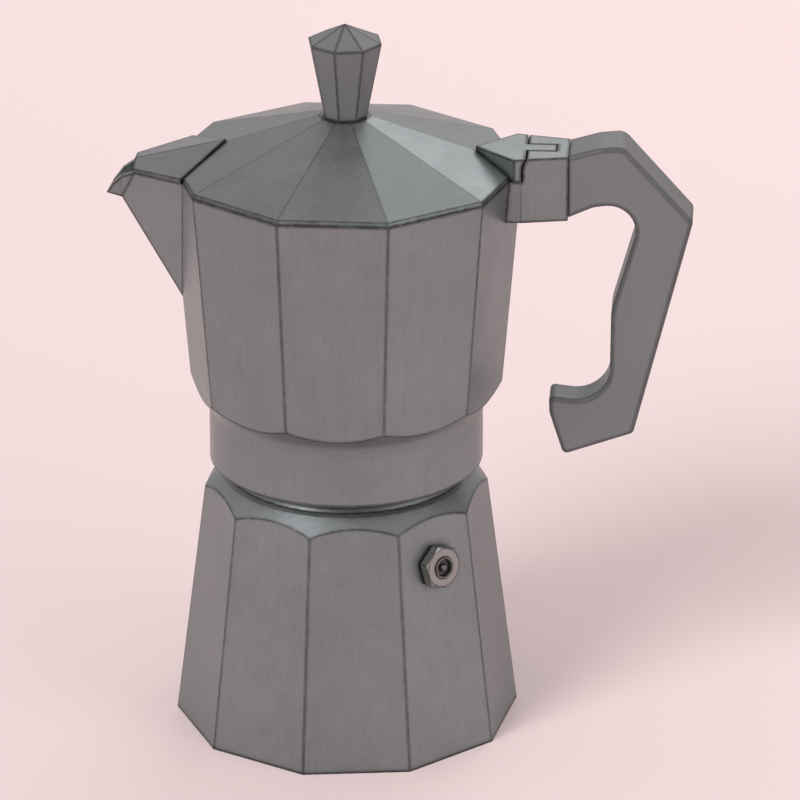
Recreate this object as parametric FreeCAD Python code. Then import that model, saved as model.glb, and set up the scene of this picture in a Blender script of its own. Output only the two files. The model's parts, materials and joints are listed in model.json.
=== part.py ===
import FreeCAD, Part
import math
import os

# Stove-top moka pot with a ten-sided boiler and upper chamber.
# Millimetres, +Z up, origin at the centre of the boiler's underside.
# The handle points along +X and the spout along -X.

SIDES = 10
EDGE_ROUND = 0.6
WALL = 2.8
PAST = 1.0  # how far a cutting tool runs past the face that it cuts

# boiler, a ten-sided pot that narrows upwards to a round threaded neck
BOILER_BASE_R = 52.0
BOILER_TOP_R = 42.7
BOILER_TOP_Z = 73.3
BOILER_TURN = 7.43
BOILER_FLOOR = 3.6
SHOULDER_R = 37.6
NECK_R = 35.5
NECK_BORE_R = 31.5
NECK_FOOT_Z = 80.6
NECK_TOP_Z = 95.0
NECK_BLEND = 1.3
NECK_BAND = 2.6
NECK_BAND_BEVEL = 0.8
NECK_TOP_BEVEL = 0.6
CAVITY_SPARE = 0.4
CAVITY_CORNER = 4.0
CAVITY_CORNER_CUT = 1.2
CAVITY_TOP_DROP = 2.0
CAVITY_NECK_RISE = 3.5

# screw thread between boiler and upper chamber
THREAD_PITCH = 3.0
THREAD_ROOT_R = 34.6
THREAD_DEPTH = 0.75
THREAD_BORE_R = 36.1
THREAD_START_Z = 84.8
THREAD_TURNS = 2.5
THREAD_SINK = 0.25
THREAD_FOOT_HALF = 0.95
THREAD_CREST_HALF = 0.45
THREAD_CREST_PLAY = 0.15

# upper chamber
COLLAR_R = 41.0
COLLAR_Z = 82.8
COLLAR_EDGE = 0.7
COLLAR_RELIEF = 0.5
COVE_Z = 99.0
COVE_R = 7.0
FLARE_RISE = 1.1
CHAMBER_FOOT_R = 46.8
CHAMBER_FOOT_Z = 108.4
RIM_R = 52.3
RIM_Z = 175.4
CHAMBER_FLOOR_Z = 108.6
CHAMBER_FLOOR_CORNER = 2.5
SEAL_R = 34.4
SEAL_SEAT_Z = 99.7
DOME_R = 28.0
DOME_TOP_Z = 105.2

# coffee column that stands in the upper chamber
COLUMN_FOOT_R = 10.0
COLUMN_SKIRT = 4.0
COLUMN_TOP_R = 6.6
COLUMN_TIP_R = 2.2
COLUMN_TOP_Z = 150.0
COLUMN_TIP_Z = 157.0
COLUMN_BORE_R = 3.4
COLUMN_SLOT_W = 4.0
COLUMN_SLOT_H = 6.0

# spout: crease from the chamber's edge to the beak, and its upper edge, as x, y, z
SPOUT_FOOT = (-47.4, 0.0, 130.0)
SPOUT_BEND = (-66.4, 0.0, 163.8)
SPOUT_TIP = (-71.0, 0.0, 165.1)
SPOUT_ROOT = (-46.2, 18.6, 175.4)
SPOUT_EAVE = (-61.8, 7.2, 174.2)
SPOUT_LIP = (-66.2, 4.6, 171.9)
SPOUT_NOSE = (-68.9, 2.5, 168.7)
SPOUT_WALL = 1.8
SPOUT_ROOT_DEPTH = 6.0
# how much of its inward and upward moves the channel makes at each place
SPOUT_BEND_LIFT = 0.6
SPOUT_LIP_LIFT = 0.5
SPOUT_TIP_BACK = 0.8
SPOUT_SIDE_IN = 0.9

# lid
LID_GAP = 0.15
LID_EDGE_Z = 176.7
LID_EDGE_IN = 0.5
LID_APEX_Z = 193.7
LID_THICK = 2.0
LID_SEAT_Z = 191.2
LID_SEAT_THICK = 3.0
ROOF_TIP = (-35.3, 0.0, 182.9)
ROOF_END = (-62.3, 0.0, 176.3)
ROOF_WING = (-47.0, 18.4, 176.8)
ROOF_EAVE = (-62.3, 7.0, 175.3)
ROOF_THICK = 1.8
ROOF_HOLLOW_REACH = 0.72

# hinge between lid and bracket
HINGE_X = 58.0
HINGE_Z = 179.0
HINGE_TOP_Z = 182.5
KNUCKLE_R = 5.4
KNUCKLE_HALF = 2.6
KNUCKLE_PLAY = 0.35
KNUCKLE_GAP = 0.3
WEB_DROP = 2.2
PIN_R = 1.6
PIN_RUNNING = 0.06
PIN_PRESS = 0.01
PIN_GRIP = 4.0
PIN_END_PLAY = 0.1
TAIL_TIP_X = 38.5
TAIL_SIDE = (50.3, 11.2)
TAIL_END = (54.2, 10.2)
TAIL_BACK_R = 5.65
TAIL_SOLID = 3.0
EAR_FRONT_R = 5.2

# bracket and the tongue that carries the handle
BRACKET_FOOT_Z = 162.6
BRACKET_END_X = 66.0
BRACKET_ROOT_HALF = 10.6
BRACKET_END_HALF = 7.8
TONGUE_END_X = 79.0
TONGUE_HALF = 4.2
TONGUE_LOW_Z = 171.0
TONGUE_HIGH_Z = 178.6
TONGUE_PLAY = 0.15
TONGUE_HOLE_DEPTH = 6.5
TONGUE_END_GAP = 0.5

# handle
HANDLE_TOP_HALF = 8.0
HANDLE_FOOT_HALF = 5.2
HANDLE_TOP_Z = 188.0
HANDLE_FOOT_Z = 84.0
HANDLE_ROUND = 1.1
HANDLE_SCREW_X = 72.6
HANDLE_SEAT_Z = 169.2
HANDLE_WASHER_R = 3.9
HANDLE_WASHER_THICK = 0.6
# side outline as x, z and corner radius
HANDLE_OUTLINE = [
    (66.15, 163.2, 0.0),
    (66.15, 182.6, 0.0),
    (75.0, 185.2, 9.0),
    (82.0, 185.9, 4.0),
    (102.9, 162.8, 2.2),
    (86.2, 94.0, 1.7),
    (65.4, 86.4, 1.7),
    (61.1, 100.0, 6.0),
    (60.9, 105.4, 1.5),
    (78.9, 103.3, 10.5),
    (79.1, 133.6, 15.0),
    (88.9, 168.8, 8.0),
    (73.5, 166.6, 8.0),
]

# knob
KNOB_SIDES = 8
KNOB_TURN = 33.1
KNOB_FOOT_R = 6.6
KNOB_TOP_R = 11.2
KNOB_RIM_Z = 214.3
KNOB_APEX_Z = 219.6
KNOB_TIP_R = 0.05
KNOB_HOLE_R = 3.2
KNOB_HOLE_DEPTH = 14.0
KNOB_SCREW_SHORT = 1.5
INSERT_DEPTH = 12.0
INSERT_INSET = 0.3
INSERT_PLAY = 0.02

# cross-headed M4 screw, used in the knob and in the handle
SCREW_R = 1.95
SCREW_HOLE_R = 2.05
SCREW_HEAD_R = 3.7
SCREW_HEAD_H = 2.2
SCREW_HEAD_ROUND = 0.9
SCREW_DRIVE = 1.1
SCREW_DRIVE_SPAN = 4.0
SCREW_DRIVE_DEPTH = 1.2
WASHER_R = 5.2
WASHER_THICK = 0.8
HOLE_PLAY = 0.1

# coffee funnel, its sieve, and the seal above it
FUNNEL_RIM_R = 34.0
FUNNEL_RIM_THICK = 0.9
FUNNEL_R = 30.6
FUNNEL_THICK = 0.9
FUNNEL_FLOOR_Z = 71.0
FUNNEL_CONE_Z = 62.0
STEM_R = 5.3
STEM_FOOT_Z = 8.0
SIEVE_LEDGE = 1.6
SIEVE_THICK = 0.8
PLATE_R = 33.8
PLATE_THICK = 0.8
GASKET_OUT_R = 34.2
GASKET_IN_R = 27.0
GASKET_EDGE = 0.5
HOLE_R = 0.8
HOLE_PITCH = 4.2
SIEVE_HOLES_R = 26.0
PLATE_HOLES_R = 24.5

# safety valve, placed along its own axis: 0 is the boiler's outer face
VALVE_FACET = -46.57
VALVE_HEIGHT = 60.7
VALVE_TURN = 12.0
VALVE_HEX = 12.0
VALVE_WASHER_R = 5.6
VALVE_WASHER_THICK = 0.6
VALVE_HEX_END = 3.6
VALVE_HEX_BEVEL = 0.4
VALVE_BOSS_R = 3.3
VALVE_BOSS_END = 4.0
VALVE_SHANK_R = 4.0
VALVE_SHANK_PLAY = 0.02
VALVE_SHANK_END = -7.0
VALVE_CHAMBER_R = 2.7
VALVE_SEAT = -6.0
VALVE_PORT_R = 1.5
VALVE_CAP_START = 1.8
VALVE_CAP_END = 2.9
VALVE_CAP_R = 2.68
VALVE_PIN_R = 1.1
VALVE_PIN_HOLE_R = 1.18
VALVE_PIN_END = 3.3
VALVE_DISC_R = 2.5
VALVE_DISC_THICK = 1.4
SPRING_MEAN_R = 1.8
SPRING_WIRE_R = 0.28
SPRING_TURNS = 6
INNER_BOSS_R = 7.0
INNER_BOSS_END = -5.6

UP = FreeCAD.Vector(0, 0, 1)
HALF_SIDE = math.pi / SIDES


def vec(x, y, z):
    return FreeCAD.Vector(x, y, z)


def polygon(points):
    return Part.makePolygon([vec(*p) for p in list(points) + [points[0]]])


def ring(radius, z, sides, turn):
    """Corner points of a regular polygon with a given corner radius."""
    angles = [math.radians(turn) + 2 * math.pi * k / sides for k in range(sides)]
    return [(radius * math.cos(a), radius * math.sin(a), z) for a in angles]


def frustum(levels, sides=SIDES, turn=0.0):
    """Faceted solid through (corner radius, height) levels."""
    parts = []
    for (r0, z0), (r1, z1) in zip(levels, levels[1:]):
        wires = [polygon(ring(r0, z0, sides, turn)), polygon(ring(r1, z1, sides, turn))]
        parts.append(Part.makeLoft(wires, True, True))
    solid = parts[0]
    if len(parts) > 1:
        solid = solid.multiFuse(parts[1:]).removeSplitter()
    return solid


def revolved(profile):
    """Solid of revolution about Z from (radius, height) points."""
    face = Part.Face(polygon([(r, 0.0, z) for r, z in profile]))
    return face.revolve(vec(0, 0, 0), UP, 360)


def rod(radius, z0, z1):
    return Part.makeCylinder(radius, z1 - z0, vec(0, 0, z0))


def prism_xz(profile, half_width):
    """Outline in the XZ plane, given a width about the plane y = 0."""
    face = Part.Face(polygon([(x, -half_width, z) for x, z in profile]))
    return face.extrude(vec(0, 2 * half_width, 0))


def prism_xy(outline, z0, z1):
    face = Part.Face(polygon([(x, y, z0) for x, y in outline]))
    return face.extrude(vec(0, 0, z1 - z0))


def solid_from_faces(faces):
    shell = Part.Shell([Part.Face(polygon(points)) for points in faces])
    solid = Part.Solid(shell)
    if solid.Volume < 0:
        solid.reverse()
    return solid


def first_solid(shape):
    return max(shape.Solids, key=lambda s: s.Volume)


def shifted(point, dx=0.0, dy=0.0, dz=0.0):
    return (point[0] + dx, point[1] + dy, point[2] + dz)


def mirrored(point):
    return (point[0], -point[1], point[2])


def steep_edges(solid):
    """Edges between side facets, which run mostly upwards."""
    steepness = 0.9
    found = []
    for edge in solid.Edges:
        rise = edge.BoundBox.ZMax - edge.BoundBox.ZMin
        if rise > steepness * edge.Length:
            found.append(edge)
    return found


def thread_ridge(root_r, depth, start_z, inward):
    """Helical ridge whose base is sunk slightly into the wall it stands on."""
    sign = -1.0 if inward else 1.0
    foot_r = root_r - sign * THREAD_SINK
    crest_r = root_r + sign * depth
    helix = Part.makeLongHelix(THREAD_PITCH, THREAD_TURNS * THREAD_PITCH, root_r)
    profile = [
        (foot_r, 0.0, -THREAD_FOOT_HALF),
        (crest_r, 0.0, -THREAD_CREST_HALF),
        (crest_r, 0.0, THREAD_CREST_HALF),
        (foot_r, 0.0, THREAD_FOOT_HALF),
    ]
    ridge = Part.Wire(helix.Edges).makePipeShell([polygon(profile)], True, True)
    ridge.translate(vec(0, 0, start_z))
    return ridge


def perforated_disc(radius, holes_r, z0, thick):
    """Round plate with a hexagonal grid of small holes."""
    circles = []
    row_step = HOLE_PITCH * math.sqrt(3) / 2
    rows = int(holes_r / row_step) + 1
    for row in range(-rows, rows + 1):
        shift = HOLE_PITCH / 2 if row % 2 else 0.0
        for column in range(-rows - 1, rows + 2):
            x = column * HOLE_PITCH + shift
            y = row * row_step
            if math.hypot(x, y) < holes_r:
                circles.append(Part.Wire(Part.makeCircle(HOLE_R, vec(x, y, z0))))
    outer = Part.Wire(Part.makeCircle(radius, vec(0, 0, z0)))
    face = Part.Face(outer)
    plate = face.extrude(vec(0, 0, thick))
    drills = [Part.Face(c).extrude(vec(0, 0, thick)) for c in circles]
    return plate.cut(Part.makeCompound(drills))


def along_valve(shape):
    """Moves a shape built along +Z from the origin onto the valve's axis."""
    slope = (BOILER_BASE_R - BOILER_TOP_R) / BOILER_TOP_Z * math.cos(HALF_SIDE)
    tilt = math.degrees(math.atan(slope))
    apothem = BOILER_BASE_R * math.cos(HALF_SIDE) - slope * VALVE_HEIGHT
    angle = math.radians(VALVE_FACET)
    place = vec(apothem * math.cos(angle), apothem * math.sin(angle), VALVE_HEIGHT)
    lean = FreeCAD.Rotation(vec(0, 1, 0), 90 - tilt)
    turn = FreeCAD.Rotation(UP, VALVE_FACET)
    moved = shape.copy()
    moved.Placement = FreeCAD.Placement(place, turn.multiply(lean)).multiply(shape.Placement)
    return moved


def boiler_radius(z):
    return BOILER_BASE_R - (BOILER_BASE_R - BOILER_TOP_R) * z / BOILER_TOP_Z


def chamber_radius(z):
    slope = (RIM_R - CHAMBER_FOOT_R) / (RIM_Z - CHAMBER_FOOT_Z)
    return CHAMBER_FOOT_R + slope * (z - CHAMBER_FOOT_Z)


def boiler_envelope():
    """Round outside of the boiler: a 45 degree shoulder, then the neck."""
    cone_sum = BOILER_TOP_R + BOILER_TOP_Z
    far = BOILER_BASE_R + PAST
    return revolved([
        (0.0, 0.0),
        (far, 0.0),
        (far, cone_sum - far),
        (SHOULDER_R, cone_sum - SHOULDER_R),
        (SHOULDER_R - NECK_BLEND, NECK_FOOT_Z - NECK_BLEND),
        (NECK_R, NECK_FOOT_Z),
        (NECK_R, NECK_FOOT_Z + NECK_BAND),
        (THREAD_ROOT_R, NECK_FOOT_Z + NECK_BAND + NECK_BAND_BEVEL),
        (THREAD_ROOT_R, NECK_TOP_Z - NECK_TOP_BEVEL),
        (THREAD_ROOT_R - NECK_TOP_BEVEL, NECK_TOP_Z),
        (0.0, NECK_TOP_Z),
    ])


def boiler_cavity():
    """Water space and the bore of the neck."""
    inset = WALL + CAVITY_SPARE
    low_r = boiler_radius(BOILER_FLOOR) * math.cos(HALF_SIDE) - inset
    top_r = BOILER_TOP_R * math.cos(HALF_SIDE) - inset
    return revolved([
        (0.0, BOILER_FLOOR),
        (low_r - CAVITY_CORNER, BOILER_FLOOR),
        (low_r - CAVITY_CORNER_CUT, BOILER_FLOOR + CAVITY_CORNER_CUT),
        (low_r, BOILER_FLOOR + CAVITY_CORNER),
        (top_r, BOILER_TOP_Z - CAVITY_TOP_DROP),
        (NECK_BORE_R, BOILER_TOP_Z + CAVITY_NECK_RISE),
        (NECK_BORE_R, NECK_TOP_Z + PAST),
        (0.0, NECK_TOP_Z + PAST),
    ])


def boiler():
    top = NECK_TOP_Z + PAST
    sides = frustum([(BOILER_BASE_R, 0.0), (boiler_radius(top), top)], SIDES, BOILER_TURN)
    sides = sides.makeFillet(EDGE_ROUND, steep_edges(sides))
    body = sides.common(boiler_envelope()).cut(boiler_cavity())
    ridge = thread_ridge(THREAD_ROOT_R, THREAD_DEPTH, THREAD_START_Z, False)
    inner_boss = along_valve(rod(INNER_BOSS_R, INNER_BOSS_END, -WALL / 2))
    body = body.fuse(ridge).fuse(inner_boss)
    hole = along_valve(rod(VALVE_SHANK_R, INNER_BOSS_END - PAST, PAST))
    return first_solid(body.cut(hole).removeSplitter())


def valve_body():
    corner_r = VALVE_HEX / math.sqrt(3)
    hexagon = ring(corner_r, VALVE_WASHER_THICK, 6, VALVE_TURN)
    nut = Part.Face(polygon(hexagon)).extrude(vec(0, 0, VALVE_HEX_END - VALVE_WASHER_THICK))
    bevel = revolved([
        (0.0, VALVE_WASHER_THICK),
        (corner_r + PAST, VALVE_WASHER_THICK),
        (corner_r + PAST, VALVE_HEX_END - VALVE_HEX_BEVEL - PAST / 2),
        (VALVE_HEX / 2 - VALVE_HEX_BEVEL / 2, VALVE_HEX_END),
        (0.0, VALVE_HEX_END),
    ])
    body = nut.common(bevel)
    shank_r = VALVE_SHANK_R - VALVE_SHANK_PLAY
    boss = rod(VALVE_BOSS_R, VALVE_WASHER_THICK, VALVE_BOSS_END)
    shank = rod(shank_r, VALVE_SHANK_END, VALVE_HEX_END / 2)
    body = body.fuse([boss, shank])
    body = body.cut(rod(VALVE_CHAMBER_R, VALVE_SEAT, VALVE_BOSS_END + PAST))
    body = body.cut(rod(VALVE_PORT_R, VALVE_SHANK_END - PAST, VALVE_SEAT + PAST))
    return along_valve(first_solid(body.removeSplitter()))


def valve_washer():
    disc = rod(VALVE_WASHER_R, 0.0, VALVE_WASHER_THICK)
    hole = rod(VALVE_SHANK_R + HOLE_PLAY, -PAST, VALVE_WASHER_THICK + PAST)
    return along_valve(disc.cut(hole))


def valve_cap():
    cap = rod(VALVE_CAP_R, VALVE_CAP_START, VALVE_CAP_END)
    return along_valve(cap.cut(rod(VALVE_PIN_HOLE_R, 0.0, VALVE_BOSS_END + PAST)))


def valve_plunger():
    disc = rod(VALVE_DISC_R, VALVE_SEAT, VALVE_SEAT + VALVE_DISC_THICK)
    stem = rod(VALVE_PIN_R, VALVE_SEAT, VALVE_PIN_END)
    tip = Part.makeSphere(VALVE_PIN_R, vec(0, 0, VALVE_PIN_END))
    return along_valve(disc.fuse([stem, tip]).removeSplitter())


def valve_spring():
    low = VALVE_SEAT + VALVE_DISC_THICK + SPRING_WIRE_R
    high = VALVE_CAP_START - SPRING_WIRE_R
    height = high - low
    helix = Part.makeLongHelix(height / SPRING_TURNS, height, SPRING_MEAN_R)
    section = Part.Wire(Part.makeCircle(SPRING_WIRE_R, vec(SPRING_MEAN_R, 0, 0), vec(0, 1, 0)))
    coil = Part.Wire(helix.Edges).makePipeShell([section], True, True)
    coil.translate(vec(0, 0, low))
    return along_valve(coil)


def funnel():
    rim_z = NECK_TOP_Z
    top_z = NECK_TOP_Z + FUNNEL_RIM_THICK
    inner_r = FUNNEL_R - FUNNEL_THICK
    bore_r = STEM_R - FUNNEL_THICK
    return revolved([
        (FUNNEL_RIM_R, rim_z),
        (FUNNEL_R, rim_z),
        (FUNNEL_R, FUNNEL_FLOOR_Z),
        (STEM_R, FUNNEL_CONE_Z),
        (STEM_R, STEM_FOOT_Z),
        (bore_r, STEM_FOOT_Z),
        (bore_r, FUNNEL_CONE_Z + FUNNEL_THICK),
        (inner_r - SIEVE_LEDGE, FUNNEL_FLOOR_Z),
        (inner_r - SIEVE_LEDGE, FUNNEL_FLOOR_Z + FUNNEL_THICK),
        (inner_r, FUNNEL_FLOOR_Z + FUNNEL_THICK),
        (inner_r, top_z),
        (FUNNEL_RIM_R, top_z),
    ])


def funnel_sieve():
    radius = FUNNEL_R - FUNNEL_THICK - HOLE_PLAY
    z0 = FUNNEL_FLOOR_Z + FUNNEL_THICK
    return perforated_disc(radius, SIEVE_HOLES_R, z0, SIEVE_THICK)


def gasket():
    low = NECK_TOP_Z + FUNNEL_RIM_THICK
    high = SEAL_SEAT_Z - PLATE_THICK
    edge = GASKET_EDGE
    return revolved([
        (GASKET_IN_R, low + edge),
        (GASKET_IN_R + edge, low),
        (GASKET_OUT_R - edge, low),
        (GASKET_OUT_R, low + edge),
        (GASKET_OUT_R, high - edge),
        (GASKET_OUT_R - edge, high),
        (GASKET_IN_R + edge, high),
        (GASKET_IN_R, high - edge),
    ])


def filter_plate():
    return perforated_disc(PLATE_R, PLATE_HOLES_R, SEAL_SEAT_Z - PLATE_THICK, PLATE_THICK)


def spout_shell(grow, lift):
    """Closed wedge of the spout, moved inwards and upwards to make its channel."""
    foot = shifted(SPOUT_FOOT, dx=grow, dz=lift)
    bend = shifted(SPOUT_BEND, dx=grow, dz=SPOUT_BEND_LIFT * lift)
    tip = shifted(SPOUT_TIP, dx=-SPOUT_TIP_BACK * grow, dz=SPOUT_LIP_LIFT * lift)
    deep = SPOUT_ROOT_DEPTH + grow
    root, eave, lip, nose = [
        shifted(p, dy=-SPOUT_SIDE_IN * grow, dz=SPOUT_LIP_LIFT * lift)
        for p in (SPOUT_ROOT, SPOUT_EAVE, SPOUT_LIP, SPOUT_NOSE)
    ]
    back = shifted(root, dx=deep)
    heel = shifted(foot, dx=deep)
    faces = []
    for side in (lambda p: p, mirrored):
        faces += [
            [heel, side(back), foot],
            [foot, side(back), side(root)],
            [foot, side(root), bend],
            [bend, side(root), side(eave)],
            [bend, side(eave), side(lip)],
            [bend, side(lip), side(nose)],
            [bend, side(nose), tip],
        ]
    faces += [
        [heel, back, mirrored(back)],
        [back, root, mirrored(root), mirrored(back)],
        [root, eave, mirrored(eave), mirrored(root)],
        [eave, lip, mirrored(lip), mirrored(eave)],
        [lip, nose, mirrored(nose), mirrored(lip)],
        [nose, tip, mirrored(nose)],
    ]
    return solid_from_faces(faces)


def bracket():
    """Arm on the handle side: hinge ears above the rim, tongue for the handle."""
    root_x = CHAMBER_FOOT_R - PAST
    plan = [
        (root_x, BRACKET_ROOT_HALF),
        (RIM_R, BRACKET_ROOT_HALF),
        (BRACKET_END_X, BRACKET_END_HALF),
        (BRACKET_END_X, -BRACKET_END_HALF),
        (RIM_R, -BRACKET_ROOT_HALF),
        (root_x, -BRACKET_ROOT_HALF),
    ]
    arm = prism_xy(plan, BRACKET_FOOT_Z, HINGE_TOP_Z)
    half = BRACKET_ROOT_HALF + PAST
    front_x = HINGE_X - EAR_FRONT_R
    keep_low = prism_xz(
        [
            (root_x - PAST, BRACKET_FOOT_Z - PAST),
            (BRACKET_END_X + PAST, BRACKET_FOOT_Z - PAST),
            (BRACKET_END_X + PAST, HINGE_TOP_Z + PAST),
            (HINGE_X, HINGE_TOP_Z + PAST),
            (HINGE_X, HINGE_Z),
            (front_x, HINGE_Z),
            (front_x, RIM_Z),
            (root_x - PAST, RIM_Z),
        ],
        half,
    )
    nose = Part.makeCylinder(EAR_FRONT_R, 2 * half, vec(HINGE_X, -half, HINGE_Z), vec(0, 1, 0))
    arm = arm.common(keep_low.fuse(nose))
    slot_half = KNUCKLE_HALF + KNUCKLE_PLAY
    slot_r = KNUCKLE_R + KNUCKLE_GAP
    slot = Part.makeCylinder(slot_r, 2 * slot_half, vec(HINGE_X, -slot_half, HINGE_Z), vec(0, 1, 0))
    front = prism_xz(
        [
            (RIM_R - PAST, RIM_Z),
            (RIM_R, RIM_Z),
            (HINGE_X, HINGE_Z - slot_r),
            (HINGE_X, HINGE_TOP_Z + PAST),
            (RIM_R - PAST, HINGE_TOP_Z + PAST),
        ],
        slot_half,
    )
    arm = arm.cut(slot.fuse(front))
    tongue = Part.makeBox(
        TONGUE_END_X - BRACKET_END_X + PAST,
        2 * TONGUE_HALF,
        TONGUE_HIGH_Z - TONGUE_LOW_Z,
        vec(BRACKET_END_X - PAST, -TONGUE_HALF, TONGUE_LOW_Z),
    )
    arm = arm.fuse(tongue)
    drill = rod(SCREW_HOLE_R, TONGUE_LOW_Z - PAST, TONGUE_LOW_Z + TONGUE_HOLE_DEPTH)
    drill.translate(vec(HANDLE_SCREW_X, 0, 0))
    pin_low = -pin_end_blind()
    bore = Part.makeCylinder(
        PIN_R + PIN_PRESS, half - pin_low, vec(HINGE_X, pin_low, HINGE_Z), vec(0, 1, 0)
    )
    return arm.cut(drill).cut(bore)


def pin_end_blind():
    return KNUCKLE_HALF + PIN_GRIP


def pin_end_open():
    slope = (BRACKET_ROOT_HALF - BRACKET_END_HALF) / (BRACKET_END_X - RIM_R)
    return BRACKET_ROOT_HALF - slope * (HINGE_X + PIN_R - RIM_R) - PIN_END_PLAY / 2


def column():
    profile = [
        (0.0, CHAMBER_FLOOR_Z - COLUMN_SKIRT / 2),
        (COLUMN_FOOT_R + COLUMN_SKIRT, CHAMBER_FLOOR_Z - COLUMN_SKIRT / 2),
        (COLUMN_FOOT_R + COLUMN_SKIRT, CHAMBER_FLOOR_Z),
        (COLUMN_FOOT_R + COLUMN_SKIRT / 4, CHAMBER_FLOOR_Z + COLUMN_SKIRT / 4),
        (COLUMN_FOOT_R, CHAMBER_FLOOR_Z + COLUMN_SKIRT),
        (COLUMN_TOP_R, COLUMN_TOP_Z),
        (COLUMN_TIP_R, COLUMN_TIP_Z - COLUMN_TIP_R / 2),
        (0.0, COLUMN_TIP_Z),
    ]
    return revolved(profile)


def flare():
    """Round envelope of the chamber's foot: a cove above the collar, then a cone."""
    far = RIM_R + COVE_R
    turn = math.atan(1 / FLARE_RISE)
    centre_r = COLLAR_R + COVE_R
    start = vec(COLLAR_R, 0, COVE_Z)
    middle, end = [
        vec(centre_r - COVE_R * math.cos(a), 0, COVE_Z + COVE_R * math.sin(a))
        for a in (turn / 2, turn)
    ]
    outline = [
        vec(far, 0, end.z + FLARE_RISE * (far - end.x)),
        vec(far, 0, RIM_Z),
        vec(0, 0, RIM_Z),
        vec(0, 0, COVE_Z),
        start,
    ]
    edges = [Part.Arc(start, middle, end).toShape(), Part.makeLine(end, outline[0])]
    edges += [Part.makeLine(a, b) for a, b in zip(outline, outline[1:])]
    return Part.Face(Part.Wire(edges)).revolve(vec(0, 0, 0), UP, 360)


def upper_chamber():
    low = COVE_Z - PAST
    sides = frustum([(chamber_radius(low), low), (RIM_R, RIM_Z)])
    sides = sides.makeFillet(EDGE_ROUND, steep_edges(sides))
    body = sides.common(flare())
    collar = revolved([
        (0.0, COLLAR_Z),
        (COLLAR_R - COLLAR_EDGE, COLLAR_Z),
        (COLLAR_R, COLLAR_Z + COLLAR_EDGE),
        (COLLAR_R, COVE_Z),
        (0.0, COVE_Z),
    ])
    body = body.fuse([collar, spout_shell(0.0, 0.0), bracket()])
    inset = WALL / math.cos(HALF_SIDE)
    floor_r = chamber_radius(CHAMBER_FLOOR_Z) - inset
    cavity = frustum([
        (floor_r - CHAMBER_FLOOR_CORNER, CHAMBER_FLOOR_Z),
        (floor_r, CHAMBER_FLOOR_Z + CHAMBER_FLOOR_CORNER),
        (RIM_R - inset, RIM_Z + PAST),
    ])
    body = body.cut(cavity).cut(spout_shell(SPOUT_WALL, 2 * SPOUT_WALL))
    body = body.fuse(column())
    relief = COLLAR_RELIEF
    underside = revolved([
        (0.0, COLLAR_Z - PAST),
        (THREAD_BORE_R + relief, COLLAR_Z - PAST),
        (THREAD_BORE_R + relief, COLLAR_Z + relief),
        (THREAD_BORE_R, COLLAR_Z + 2 * relief),
        (THREAD_BORE_R, NECK_TOP_Z + relief),
        (SEAL_R, NECK_TOP_Z + FUNNEL_RIM_THICK),
        (SEAL_R, SEAL_SEAT_Z),
        (DOME_R, SEAL_SEAT_Z),
        (COLUMN_BORE_R + 2 * relief, DOME_TOP_Z),
        (COLUMN_BORE_R, DOME_TOP_Z + 2 * relief),
        (COLUMN_BORE_R, COLUMN_TOP_Z),
        (0.0, COLUMN_TOP_Z + COLUMN_BORE_R / 2),
    ])
    body = body.cut(underside)
    reach = COLUMN_FOOT_R
    slot_low = vec(-COLUMN_SLOT_W / 2, -reach, COLUMN_TOP_Z - COLUMN_SLOT_H - PAST)
    slot = Part.makeBox(COLUMN_SLOT_W, 2 * reach, COLUMN_SLOT_H, slot_low)
    body = body.cut(slot)
    start = THREAD_START_Z - THREAD_PITCH / 2
    ridge = thread_ridge(THREAD_BORE_R, THREAD_DEPTH - THREAD_CREST_PLAY, start, True)
    return first_solid(body.fuse(ridge).removeSplitter())


def lid_cone(drop, seat_z, edge_r, edge_z):
    """Ten-sided cone with a short steep edge and a flat seat at the top."""
    slope = (LID_APEX_Z - LID_EDGE_Z) / (RIM_R - LID_EDGE_IN)
    seat_r = (LID_APEX_Z - drop - seat_z) / slope
    brow_z = LID_APEX_Z - drop - slope * (edge_r - LID_EDGE_IN)
    return frustum([(edge_r, edge_z), (edge_r - LID_EDGE_IN, brow_z), (seat_r, seat_z)])


def between(start, end, share):
    return tuple(p + share * (q - p) for p, q in zip(start, end))


def roof_solid(reach, drop):
    """Gable over the spout: the outside, or with a drop the hollow under it."""
    low = RIM_Z + LID_GAP - 2 * drop
    low_end = SPOUT_EAVE[2] + LID_GAP - 2 * drop
    tip = shifted(ROOF_TIP, dx=-drop, dz=-drop)
    wing = shifted(ROOF_WING, dy=-drop, dz=-drop)
    end = between(tip, shifted(ROOF_END, dz=-drop), reach)
    share = (end[0] - wing[0]) / (ROOF_EAVE[0] - wing[0])
    eave = between(wing, shifted(ROOF_EAVE, dy=-drop, dz=-drop), share)
    tip_low = (tip[0], 0.0, low)
    wing_low = (wing[0], wing[1], low)
    eave_low = (eave[0], eave[1], low + share * (low_end - low))
    faces = []
    for side in (lambda p: p, mirrored):
        faces += [
            [tip, side(wing), side(wing_low)],
            [tip, side(wing_low), tip_low],
            [side(wing), side(eave), side(wing_low)],
            [side(eave), side(eave_low), side(wing_low)],
            [tip, end, side(wing)],
            [end, side(eave), side(wing)],
        ]
    faces += [
        [end, eave, eave_low, mirrored(eave_low), mirrored(eave)],
        [tip_low, wing_low, mirrored(wing_low)],
        [wing_low, eave_low, mirrored(eave_low), mirrored(wing_low)],
    ]
    return solid_from_faces(faces)


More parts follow.
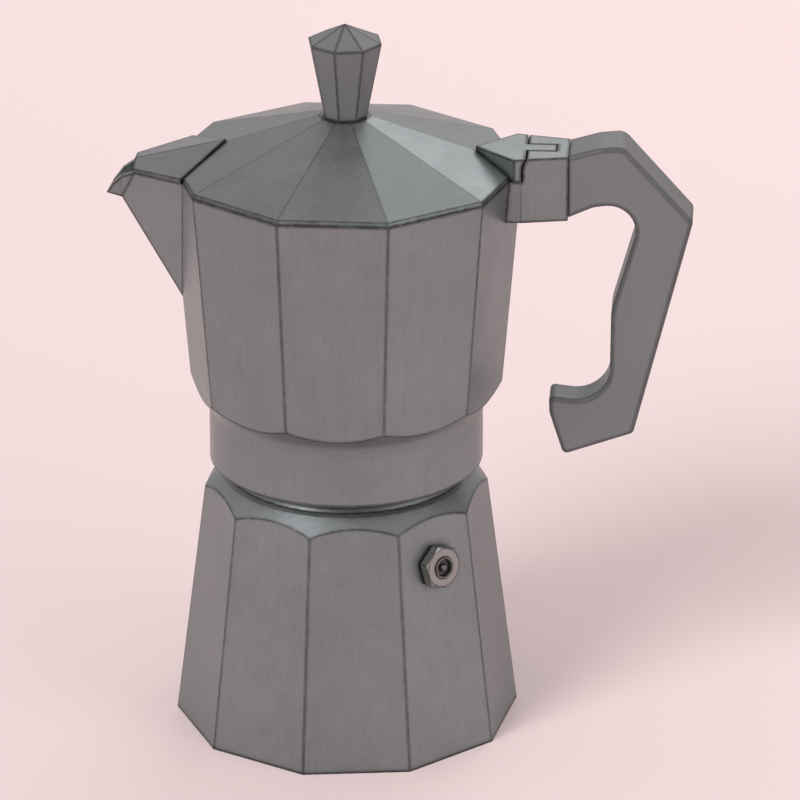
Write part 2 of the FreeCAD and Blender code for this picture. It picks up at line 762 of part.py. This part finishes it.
def tail_clearance():
    """Room behind the lid's tail for the round fronts of the bracket's ears."""
    width = 2 * (BRACKET_ROOT_HALF + PAST)
    low = vec(HINGE_X - TAIL_BACK_R, -width / 2, RIM_Z - PAST)
    below = Part.makeBox(2 * TAIL_BACK_R, width, HINGE_Z - low.z, low)
    axis = vec(HINGE_X, -width / 2, HINGE_Z)
    return Part.makeCylinder(TAIL_BACK_R, width, axis, vec(0, 1, 0)).fuse(below)


def knuckle():
    """Round middle of the hinge and its web, cut flush with the top of the tail."""
    width = 2 * KNUCKLE_HALF
    barrel = Part.makeCylinder(KNUCKLE_R, width, vec(HINGE_X, -KNUCKLE_HALF, HINGE_Z), vec(0, 1, 0))
    above = vec(HINGE_X - KNUCKLE_R, -KNUCKLE_HALF, HINGE_TOP_Z)
    barrel = barrel.cut(Part.makeBox(2 * KNUCKLE_R, width, KNUCKLE_R, above))
    web_x = HINGE_X - TAIL_BACK_R - PAST
    web_z = HINGE_Z - WEB_DROP
    web = Part.makeBox(HINGE_X - web_x, width, HINGE_TOP_Z - web_z, vec(web_x, -KNUCKLE_HALF, web_z))
    return barrel.fuse(web)


def lid():
    low = RIM_Z + LID_GAP
    body = lid_cone(0.0, LID_SEAT_Z, RIM_R, low)
    body = body.fuse(roof_solid(1.0, 0.0))
    tail = [
        (TAIL_TIP_X, 0.0),
        TAIL_SIDE,
        TAIL_END,
        (TAIL_END[0], -TAIL_END[1]),
        (TAIL_SIDE[0], -TAIL_SIDE[1]),
    ]
    body = body.fuse(prism_xy(tail, low, HINGE_TOP_Z).cut(tail_clearance()))
    inner_seat_z = LID_SEAT_Z - LID_SEAT_THICK
    hollow = lid_cone(LID_THICK, inner_seat_z, RIM_R - LID_THICK, low - PAST)
    solid_x = TAIL_SIDE[0] - TAIL_SOLID
    corner = vec(solid_x, -BRACKET_ROOT_HALF - TAIL_SOLID, low - 2 * PAST)
    guard = Part.makeBox(RIM_R - solid_x, -2 * corner.y, LID_APEX_Z - low, corner)
    body = body.cut(hollow.cut(guard))
    body = body.cut(roof_solid(ROOF_HOLLOW_REACH, ROOF_THICK))
    body = body.fuse(knuckle())
    reach = KNUCKLE_HALF + PAST
    bore_r = PIN_R + PIN_RUNNING
    bore = Part.makeCylinder(bore_r, 2 * reach, vec(HINGE_X, -reach, HINGE_Z), vec(0, 1, 0))
    screw_hole = rod(SCREW_HOLE_R, inner_seat_z - PAST, LID_SEAT_Z + PAST)
    return first_solid(body.cut(bore).cut(screw_hole).removeSplitter())


def lid_hinge_pin():
    low = -pin_end_blind() + PIN_END_PLAY
    length = pin_end_open() - low
    return Part.makeCylinder(PIN_R, length, vec(HINGE_X, low, HINGE_Z), vec(0, 1, 0))


def knob():
    levels = [(KNOB_FOOT_R, LID_SEAT_Z), (KNOB_TOP_R, KNOB_RIM_Z), (KNOB_TIP_R, KNOB_APEX_Z)]
    body = frustum(levels, KNOB_SIDES, KNOB_TURN)
    return body.cut(rod(KNOB_HOLE_R, LID_SEAT_Z - PAST, LID_SEAT_Z + KNOB_HOLE_DEPTH))


def knob_insert():
    low = LID_SEAT_Z + INSERT_INSET
    sleeve = rod(KNOB_HOLE_R - INSERT_PLAY, low, LID_SEAT_Z + INSERT_DEPTH)
    return sleeve.cut(rod(SCREW_HOLE_R, low - PAST, LID_SEAT_Z + INSERT_DEPTH + PAST))


def screw(length):
    """Pan head below z = 0, shank upwards, with a cross recess in the head."""
    head = rod(SCREW_HEAD_R, -SCREW_HEAD_H, 0.0)
    rims = [e for e in head.Edges if e.BoundBox.ZMax < -SCREW_HEAD_H / 2 and e.Closed]
    head = head.makeFillet(SCREW_HEAD_ROUND, rims)
    body = head.fuse(rod(SCREW_R, -SCREW_HEAD_H / 4, length))
    for long, wide in ((SCREW_DRIVE_SPAN, SCREW_DRIVE), (SCREW_DRIVE, SCREW_DRIVE_SPAN)):
        low = vec(-long / 2, -wide / 2, -SCREW_HEAD_H - PAST)
        body = body.cut(Part.makeBox(long, wide, SCREW_DRIVE_DEPTH + PAST, low))
    return first_solid(body.removeSplitter())


def knob_washer():
    top = LID_SEAT_Z - LID_SEAT_THICK
    washer = rod(WASHER_R, top - WASHER_THICK, top)
    return washer.cut(rod(SCREW_HOLE_R + HOLE_PLAY, top - 2 * PAST, top + PAST))


def knob_screw():
    top = LID_SEAT_Z - LID_SEAT_THICK - WASHER_THICK
    body = screw(LID_SEAT_THICK + WASHER_THICK + INSERT_DEPTH - KNOB_SCREW_SHORT)
    body.translate(vec(0, 0, top))
    return body


def rounded_wire(corners):
    """Closed outline in the XZ plane from (x, z, corner radius) corners."""
    points = [vec(x, 0, z) for x, z, radius in corners]
    count = len(points)
    starts, middles, ends = [], [], []
    for k in range(count):
        before = (points[k - 1] - points[k]).normalize()
        after = (points[(k + 1) % count] - points[k]).normalize()
        radius = corners[k][2]
        half = before.getAngle(after) / 2
        back = radius / math.tan(half)
        inward = (before + after).normalize()
        starts.append(points[k] + before * back)
        middles.append(points[k] + inward * (radius / math.sin(half) - radius))
        ends.append(points[k] + after * back)
    edges = []
    for k in range(count):
        if corners[k][2] > 0:
            edges.append(Part.Arc(starts[k], middles[k], ends[k]).toShape())
        edges.append(Part.makeLine(ends[k], starts[(k + 1) % count]))
    return Part.Wire(edges)


def handle():
    half = HANDLE_TOP_HALF + PAST
    face = Part.Face(rounded_wire(HANDLE_OUTLINE))
    face.translate(vec(0, -half, 0))
    slab = face.extrude(vec(0, 2 * half, 0))
    section = [
        (HANDLE_FOOT_HALF, HANDLE_FOOT_Z),
        (HANDLE_TOP_HALF, HANDLE_TOP_Z),
        (-HANDLE_TOP_HALF, HANDLE_TOP_Z),
        (-HANDLE_FOOT_HALF, HANDLE_FOOT_Z),
    ]
    reach = max(x for x, z, radius in HANDLE_OUTLINE) + PAST
    wedge = Part.Face(polygon([(0.0, y, z) for y, z in section])).extrude(vec(reach, 0, 0))
    body = slab.common(wedge).removeSplitter()
    rounded = []
    for edge in body.Edges:
        box = edge.BoundBox
        joins_bracket = box.XMax < BRACKET_END_X + PAST and box.ZMin > BRACKET_FOOT_Z
        across = box.YMax - box.YMin > HANDLE_FOOT_HALF
        if not joins_bracket and not across:
            rounded.append(edge)
    body = body.makeFillet(HANDLE_ROUND, rounded)
    socket = Part.makeBox(
        TONGUE_END_X - BRACKET_END_X + PAST + TONGUE_END_GAP,
        2 * (TONGUE_HALF + TONGUE_PLAY),
        TONGUE_HIGH_Z - TONGUE_LOW_Z + 2 * TONGUE_PLAY,
        vec(BRACKET_END_X - PAST, -TONGUE_HALF - TONGUE_PLAY, TONGUE_LOW_Z - TONGUE_PLAY),
    )
    body = body.cut(socket)
    counterbore = rod(HANDLE_WASHER_R + HOLE_PLAY, BRACKET_FOOT_Z, HANDLE_SEAT_Z)
    hole = rod(SCREW_HOLE_R + HOLE_PLAY, HANDLE_SEAT_Z - PAST, TONGUE_LOW_Z + PAST)
    counterbore.translate(vec(HANDLE_SCREW_X, 0, 0))
    hole.translate(vec(HANDLE_SCREW_X, 0, 0))
    return first_solid(body.cut(counterbore).cut(hole).removeSplitter())


def handle_washer():
    low = HANDLE_SEAT_Z - HANDLE_WASHER_THICK
    washer = rod(HANDLE_WASHER_R, low, HANDLE_SEAT_Z)
    washer = washer.cut(rod(SCREW_HOLE_R + HOLE_PLAY, low - PAST, HANDLE_SEAT_Z + PAST))
    washer.translate(vec(HANDLE_SCREW_X, 0, 0))
    return washer


def handle_screw():
    low = HANDLE_SEAT_Z - HANDLE_WASHER_THICK
    body = screw(TONGUE_LOW_Z + TONGUE_HOLE_DEPTH - TONGUE_END_GAP - low)
    body.translate(vec(HANDLE_SCREW_X, 0, low))
    return body


NODES = {
    "boiler": boiler,
    "valve_body": valve_body,
    "valve_washer": valve_washer,
    "valve_cap": valve_cap,
    "valve_plunger": valve_plunger,
    "valve_spring": valve_spring,
    "funnel": funnel,
    "funnel_sieve": funnel_sieve,
    "gasket": gasket,
    "filter_plate": filter_plate,
    "upper_chamber": upper_chamber,
    "lid": lid,
    "lid_hinge_pin": lid_hinge_pin,
    "knob": knob,
    "knob_insert": knob_insert,
    "knob_washer": knob_washer,
    "knob_screw": knob_screw,
    "handle": handle,
    "handle_washer": handle_washer,
    "handle_screw": handle_screw,
}

os.makedirs("parts", exist_ok=True)
for name, make in NODES.items():
    solid = first_solid(make())
    print(name, round(solid.Volume, 1), solid.isValid(), solid.isClosed())
    solid.exportStep("parts/" + name + ".step")
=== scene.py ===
import json
import math

import bpy
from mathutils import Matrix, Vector


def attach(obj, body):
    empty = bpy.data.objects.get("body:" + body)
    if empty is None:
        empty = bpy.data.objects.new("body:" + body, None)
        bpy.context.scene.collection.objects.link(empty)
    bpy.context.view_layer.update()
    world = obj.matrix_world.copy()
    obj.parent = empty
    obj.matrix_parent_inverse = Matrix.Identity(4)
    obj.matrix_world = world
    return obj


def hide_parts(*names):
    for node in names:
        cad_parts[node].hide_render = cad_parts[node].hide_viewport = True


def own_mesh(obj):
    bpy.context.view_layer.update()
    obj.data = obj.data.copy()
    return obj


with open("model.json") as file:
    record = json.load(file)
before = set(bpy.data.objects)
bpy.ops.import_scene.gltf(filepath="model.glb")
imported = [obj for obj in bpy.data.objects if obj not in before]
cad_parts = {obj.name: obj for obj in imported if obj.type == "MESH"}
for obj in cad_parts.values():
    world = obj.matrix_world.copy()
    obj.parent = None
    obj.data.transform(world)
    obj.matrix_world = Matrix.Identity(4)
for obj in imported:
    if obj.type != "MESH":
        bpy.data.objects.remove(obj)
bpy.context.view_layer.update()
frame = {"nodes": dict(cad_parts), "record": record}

nodes = frame["nodes"]

MM = 0.001

# dark edges: how wide and how strong, and where a rounded normal counts as an edge
EDGE_WIDTH = 1.3 * MM
FINE_EDGE_WIDTH = 0.6 * MM
EDGE_DARKNESS = 0.9
EDGE_SHADE = 0.12
EDGE_STARTS, EDGE_FULL = 0.9982, 0.996

# painted shade in gaps and corners: open share of the surroundings where it starts and is full
PAINTED_SHADE_STARTS, PAINTED_SHADE_FULL = 0.85, 0.25

# most noise values lie between these two
NOISE_LOW, NOISE_HIGH = 0.3, 0.7
NOISE_ROUGHNESS = 0.55

SHADER_SAMPLES = 6

# stage
FLOOR_HALF = 6.0
FLOOR_COLOUR = (0.86, 0.70, 0.70, 1.0)
FLOOR_ROUGHNESS = 0.9
WORLD_COLOUR = (1.0, 0.95, 0.95, 1.0)
WORLD_STRENGTH = 0.6
POT_MIDDLE = (0, 0, 0.1)

# camera
AZIMUTH, ELEVATION = math.radians(3.84), math.radians(23.1)
DISTANCE = 1.798
AIM_HEIGHT, AIM_RIGHT = 0.1002, 0.0161
LENS, SENSOR = 270.0, 36.0
CLIP_START, CLIP_END = 0.05, 20.0


# ---------------------------------------------------------------- material helpers
def new_material(name):
    """An empty node material with its output and Principled shader joined."""
    material = bpy.data.materials.new(name)
    material.use_nodes = True
    tree = material.node_tree
    tree.nodes.clear()
    output = tree.nodes.new("ShaderNodeOutputMaterial")
    shader = tree.nodes.new("ShaderNodeBsdfPrincipled")
    tree.links.new(shader.outputs["BSDF"], output.inputs["Surface"])
    return material, tree, shader


def node(tree, kind, settings=None, **inputs):
    """A node with its settings, and its inputs set to values or linked to sockets."""
    made = tree.nodes.new(kind)
    for key, value in (settings or {}).items():
        setattr(made, key, value)
    for key, value in inputs.items():
        socket = made.inputs[key.replace("_", " ")]
        if isinstance(value, bpy.types.NodeSocket):
            tree.links.new(value, socket)
        else:
            socket.default_value = value
    return made


def math_node(tree, operation, first, second):
    made = tree.nodes.new("ShaderNodeMath")
    made.operation = operation
    for socket, value in zip(made.inputs, (first, second)):
        if isinstance(value, bpy.types.NodeSocket):
            tree.links.new(value, socket)
        else:
            socket.default_value = value
    return made.outputs[0]


def remap(tree, value, low, high, to_low, to_high):
    made = node(tree, "ShaderNodeMapRange", {"clamp": True}, Value=value)
    ranges = {"From Min": low, "From Max": high, "To Min": to_low, "To Max": to_high}
    for key, number in ranges.items():
        made.inputs[key].default_value = number
    return made.outputs["Result"]


def spread(tree, value, to_low, to_high):
    """A noise value turned into the given range."""
    return remap(tree, value, NOISE_LOW, NOISE_HIGH, to_low, to_high)


def coordinates(tree, scale=(1, 1, 1)):
    """Object coordinates, which are metres in the row frame, stretched by scale."""
    source = node(tree, "ShaderNodeTexCoord").outputs["Object"]
    mapping = node(tree, "ShaderNodeMapping", Vector=source)
    mapping.inputs["Scale"].default_value = scale
    return mapping.outputs["Vector"]


def noise(tree, vector, scale, detail=4.0):
    made = node(tree, "ShaderNodeTexNoise", Vector=vector, Scale=scale, Detail=detail)
    made.inputs["Roughness"].default_value = NOISE_ROUGHNESS
    return made.outputs["Fac"]


def mix_colour(tree, factor, first, second):
    """Two colours mixed; the second is a plain colour, the others are sockets."""
    factor_input, first_input, second_input, colour_output = 0, 6, 7, 2
    made = tree.nodes.new("ShaderNodeMix")
    made.data_type = "RGBA"
    tree.links.new(factor, made.inputs[factor_input])
    tree.links.new(first, made.inputs[first_input])
    made.inputs[second_input].default_value = (*second, 1.0)
    return made.outputs[colour_output]


def rounded_normal(tree, radius):
    made = node(tree, "ShaderNodeBevel", {"samples": SHADER_SAMPLES}, Radius=radius)
    return made.outputs["Normal"]


def edge_mask(tree, radius):
    """1 on edges and corners, 0 on flat faces: where a rounded normal leaves the true one."""
    rounded = rounded_normal(tree, radius)
    true = node(tree, "ShaderNodeNewGeometry").outputs["Normal"]
    dot = tree.nodes.new("ShaderNodeVectorMath")
    dot.operation = "DOT_PRODUCT"
    tree.links.new(rounded, dot.inputs[0])
    tree.links.new(true, dot.inputs[1])
    return remap(tree, dot.outputs["Value"], EDGE_STARTS, EDGE_FULL, 0.0, 1.0)


def painted_shade_mask(tree, distance):
    """Where shade is painted: 1 in corners and gaps, 0 where a surface is open."""
    settings = {"samples": SHADER_SAMPLES}
    occlusion = node(tree, "ShaderNodeAmbientOcclusion", settings, Distance=distance)
    return remap(tree, occlusion.outputs["AO"], PAINTED_SHADE_STARTS, PAINTED_SHADE_FULL, 0.0, 1.0)


def bump(tree, height, distance, strength, normal=None):
    made = node(tree, "ShaderNodeBump", Height=height, Distance=distance, Strength=strength)
    if normal is not None:
        tree.links.new(normal, made.inputs["Normal"])
    return made.outputs["Normal"]


def scaled(tree, colour, factor):
    """A colour multiplied by a factor that varies over the surface."""
    made = node(tree, "ShaderNodeVectorMath", {"operation": "SCALE"})
    made.inputs[0].default_value = colour
    tree.links.new(factor, made.inputs["Scale"])
    return made.outputs[0]


def times(colour, factor):
    return tuple(min(1.0, c * factor) for c in colour)


def darkened(tree, colour, mask, strength, dark):
    """The colour, turned into a dark one as far as a mask and a strength say."""
    return mix_colour(tree, math_node(tree, "MULTIPLY", mask, strength), colour, dark)


def summed(tree, *values):
    total = values[0]
    for value in values[1:]:
        total = math_node(tree, "ADD", total, value)
    return total


# how lines stretch the noise: up the facets, flat on round parts, across small metal parts
VERTICAL_LINES = (1.0, 1.0, 0.03)
FLAT_LINES = (0.05, 0.05, 1.0)
SCRATCHES = (1.0, 1.0, 14.0)


# ---------------------------------------------------------------- materials
def cast_aluminium(name, base, rough, line_scale, grain=1.0):
    """Blasted and lightly polished cast aluminium: cloudy tone, fine grain, polishing
    lines, small pores, painted shade in the gaps and darkened facet edges."""
    material, tree, shader = new_material(name)
    place = coordinates(tree)
    clouds = noise(tree, place, scale=26.0, detail=5.0)
    patches = noise(tree, place, scale=130.0, detail=3.0)
    polish = noise(tree, coordinates(tree, line_scale), scale=1000.0, detail=3.0)
    grit = noise(tree, place, scale=1700.0, detail=2.0)
    pores = remap(tree, noise(tree, place, scale=900.0, detail=1.0), 0.71, 0.78, 0.0, 1.0)
    tone = summed(
        tree,
        spread(tree, clouds, 0.94, 1.06),
        spread(tree, patches, -0.035, 0.035),
        spread(tree, polish, -0.05, 0.05),
        spread(tree, grit, -0.04, 0.04),
    )
    edge = edge_mask(tree, EDGE_WIDTH)
    wear = noise(tree, place, scale=380.0, detail=4.0)
    breaks = remap(tree, wear, 0.3, 0.6, 0.65 * EDGE_DARKNESS, EDGE_DARKNESS)
    colour = darkened(tree, scaled(tree, base, tone), edge, breaks, times(base, EDGE_SHADE))
    colour = darkened(tree, colour, pores, 0.3, times(base, 0.35))
    # painted shade: corners and gaps turned nearly black where the surroundings close in
    colour = darkened(tree, colour, painted_shade_mask(tree, 3.0 * MM), 0.9, times(base, 0.06))
    tree.links.new(colour, shader.inputs["Base Color"])
    shader.inputs["Metallic"].default_value = 0.8
    shine = summed(
        tree,
        spread(tree, patches, rough - 0.04, rough + 0.05),
        spread(tree, polish, -0.05, 0.05),
    )
    tree.links.new(shine, shader.inputs["Roughness"])
    rounded = rounded_normal(tree, 0.35 * MM)
    normal = bump(tree, polish, 0.02 * MM, strength=0.35, normal=rounded)
    normal = bump(tree, grit, 0.045 * MM, strength=0.6 * grain, normal=normal)
    normal = bump(tree, patches, 0.10 * MM, strength=0.3 * grain, normal=normal)
    pits = math_node(tree, "MULTIPLY", pores, -1.0)
    normal = bump(tree, pits, 0.05 * MM, strength=0.6, normal=normal)
    tree.links.new(normal, shader.inputs["Normal"])
    return material


def moulded_plastic(name, base):
    """Matte phenolic plastic: fine moulded grain, a few pale specks, darkened edges."""
    material, tree, shader = new_material(name)
    place = coordinates(tree)
    clouds = noise(tree, place, scale=45.0, detail=4.0)
    grain = noise(tree, place, scale=1400.0, detail=3.0)
    specks = remap(tree, noise(tree, place, scale=3800.0, detail=1.0), 0.64, 0.76, 0.0, 0.3)
    edge = edge_mask(tree, EDGE_WIDTH)
    wear = noise(tree, place, scale=300.0)
    breaks = remap(tree, wear, 0.35, 0.6, 0.85 * EDGE_DARKNESS, EDGE_DARKNESS)
    colour = scaled(tree, base, spread(tree, clouds, 0.95, 1.05))
    colour = mix_colour(tree, specks, colour, times(base, 1.4))
    colour = darkened(tree, colour, edge, breaks, times(base, EDGE_SHADE))
    # painted shade: corners and gaps turned nearly black where the surroundings close in
    colour = darkened(tree, colour, painted_shade_mask(tree, 2.5 * MM), 0.9, times(base, 0.08))
    tree.links.new(colour, shader.inputs["Base Color"])
    tree.links.new(spread(tree, grain, 0.42, 0.58), shader.inputs["Roughness"])
    rounded = rounded_normal(tree, 0.4 * MM)
    normal = bump(tree, grain, 0.05 * MM, strength=0.6, normal=rounded)
    tree.links.new(normal, shader.inputs["Normal"])
    return material


def machined_metal(name, base, rough):
    """Turned or drawn metal: fine tone changes, small scratches, painted shade in the gaps."""
    material, tree, shader = new_material(name)
    place = coordinates(tree)
    fine = noise(tree, place, scale=2600.0, detail=3.0)
    scratches = noise(tree, coordinates(tree, SCRATCHES), scale=600.0, detail=4.0)
    edge = edge_mask(tree, FINE_EDGE_WIDTH)
    colour = scaled(tree, base, spread(tree, scratches, 0.88, 1.1))
    colour = darkened(tree, colour, edge, EDGE_DARKNESS, times(base, EDGE_SHADE))
    # painted shade: corners and gaps turned nearly black where the surroundings close in
    colour = darkened(tree, colour, painted_shade_mask(tree, 1.5 * MM), 0.95, times(base, 0.05))
    tree.links.new(colour, shader.inputs["Base Color"])
    shader.inputs["Metallic"].default_value = 0.9
    tree.links.new(spread(tree, fine, rough - 0.06, rough + 0.08), shader.inputs["Roughness"])
    rounded = rounded_normal(tree, 0.2 * MM)
    normal = bump(tree, scratches, 0.02 * MM, strength=0.4, normal=rounded)
    tree.links.new(normal, shader.inputs["Normal"])
    return material


def soft_seal(name, base, rough):
    """Seal or fibre: slightly blotched, fine-grained and dull."""
    material, tree, shader = new_material(name)
    place = coordinates(tree)
    blotches = noise(tree, place, scale=160.0, detail=4.0)
    grain = noise(tree, place, scale=2200.0, detail=2.0)
    colour = scaled(tree, base, spread(tree, blotches, 0.9, 1.08))
    tree.links.new(colour, shader.inputs["Base Color"])
    tree.links.new(spread(tree, grain, rough - 0.08, rough + 0.08), shader.inputs["Roughness"])
    tree.links.new(bump(tree, grain, 0.04 * MM, strength=0.5), shader.inputs["Normal"])
    return material


CAST_GREY = (0.222, 0.24, 0.245)
SPUN_GREY = (0.45, 0.45, 0.46)

SLOT_MATERIAL = {
    "cast_aluminium": cast_aluminium("cast_aluminium", CAST_GREY, 0.38, VERTICAL_LINES),
    "spun_aluminium": cast_aluminium("spun_aluminium", SPUN_GREY, 0.34, FLAT_LINES, grain=0.5),
    "grip_plastic": moulded_plastic("grip_plastic", (0.15, 0.153, 0.157)),
    "valve_metal": machined_metal("valve_metal", (0.30, 0.298, 0.29), 0.34),
    "steel": machined_metal("steel", (0.45, 0.45, 0.46), 0.28),
    "insert_brass": machined_metal("insert_brass", (0.62, 0.45, 0.2), 0.3),
    "fibre": soft_seal("fibre", (0.03, 0.028, 0.026), 0.75),
    "seal_rubber": soft_seal("seal_rubber", (0.62, 0.6, 0.56), 0.6),
}

NODE_MATERIAL = {
    # painted shade: the cap is coloured near black so that the valve's recessed ring reads as
    # deep shade
    "valve_cap": machined_metal("shade_dark_valve_cap", (0.10, 0.098, 0.095), 0.4),
}


def dress_cad_nodes():
    """Gives every CAD node a material of its own where one is set, or its slot's."""
    for row in frame["record"]["subparts"]:
        obj = nodes[row["node"]]
        obj.data.materials.clear()
        material = NODE_MATERIAL.get(row["node"], SLOT_MATERIAL[row["material_slot"]])
        obj.data.materials.append(material)


dress_cad_nodes()


def fitted_spring():
    """The valve's spring as a piece of its own, carried by the boiler."""
    spring = bpy.data.objects.new("fitted_spring", nodes["valve_spring"].data.copy())
    bpy.context.scene.collection.objects.link(spring)
    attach(spring, "boiler")
    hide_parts("valve_spring")
    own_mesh(spring)


fitted_spring()


# ---------------------------------------------------------------- stage, light and camera
def floor():
    mesh = bpy.data.meshes.new("floor")
    signs = ((-1, -1), (1, -1), (1, 1), (-1, 1))
    corners = [(FLOOR_HALF * x, FLOOR_HALF * y, 0) for x, y in signs]
    mesh.from_pydata(corners, [], [(0, 1, 2, 3)])
    obj = bpy.data.objects.new("floor", mesh)
    bpy.context.scene.collection.objects.link(obj)
    material, tree, shader = new_material("floor")
    shader.inputs["Base Color"].default_value = FLOOR_COLOUR
    shader.inputs["Roughness"].default_value = FLOOR_ROUGHNESS
    mesh.materials.append(material)


def placed(name, data, place, looking):
    """A light or camera object at a place, looking in a direction."""
    obj = bpy.data.objects.new(name, data)
    obj.location = place
    obj.rotation_mode = "QUATERNION"
    obj.rotation_quaternion = looking.to_track_quat("-Z", "Y")
    bpy.context.scene.collection.objects.link(obj)
    return obj


def area_light(name, place, target, size, power):
    light = bpy.data.lights.new(name, "AREA")
    light.shape = "RECTANGLE"
    light.size, light.size_y = size
    light.energy = power
    placed(name, light, place, Vector(target) - Vector(place))


def sun_light(name, place, target, strength, softness):
    """A soft light from far away, which lights the whole floor evenly."""
    light = bpy.data.lights.new(name, "SUN")
    light.energy = strength
    light.angle = math.radians(softness)
    placed(name, light, place, Vector(target) - Vector(place))


def world_light():
    world = bpy.data.worlds.new("studio")
    world.use_nodes = True
    background = world.node_tree.nodes["Background"]
    background.inputs["Color"].default_value = WORLD_COLOUR
    background.inputs["Strength"].default_value = WORLD_STRENGTH
    bpy.context.scene.world = world


def camera():
    back = Vector((
        math.sin(AZIMUTH) * math.cos(ELEVATION),
        -math.cos(AZIMUTH) * math.cos(ELEVATION),
        math.sin(ELEVATION),
    ))
    right = (-back).cross(Vector((0, 0, 1))).normalized()
    target = Vector((0, 0, AIM_HEIGHT)) + right * AIM_RIGHT
    data = bpy.data.cameras.new("camera")
    data.lens = LENS
    data.sensor_width = SENSOR
    data.clip_start, data.clip_end = CLIP_START, CLIP_END
    bpy.context.scene.camera = placed("camera", data, target + back * DISTANCE, -back)


floor()
world_light()
sun_light("key", (-1.0, -1.2, 1.25), POT_MIDDLE, strength=1.65, softness=28.0)
area_light("fill", (1.4, -0.8, 0.6), POT_MIDDLE, size=(1.0, 1.2), power=6.0)
area_light("back", (0.4, 1.3, 1.1), (0, 0, 0.12), size=(1.2, 0.7), power=5.0)
bpy.context.scene.view_settings.view_transform = "Standard"
camera()
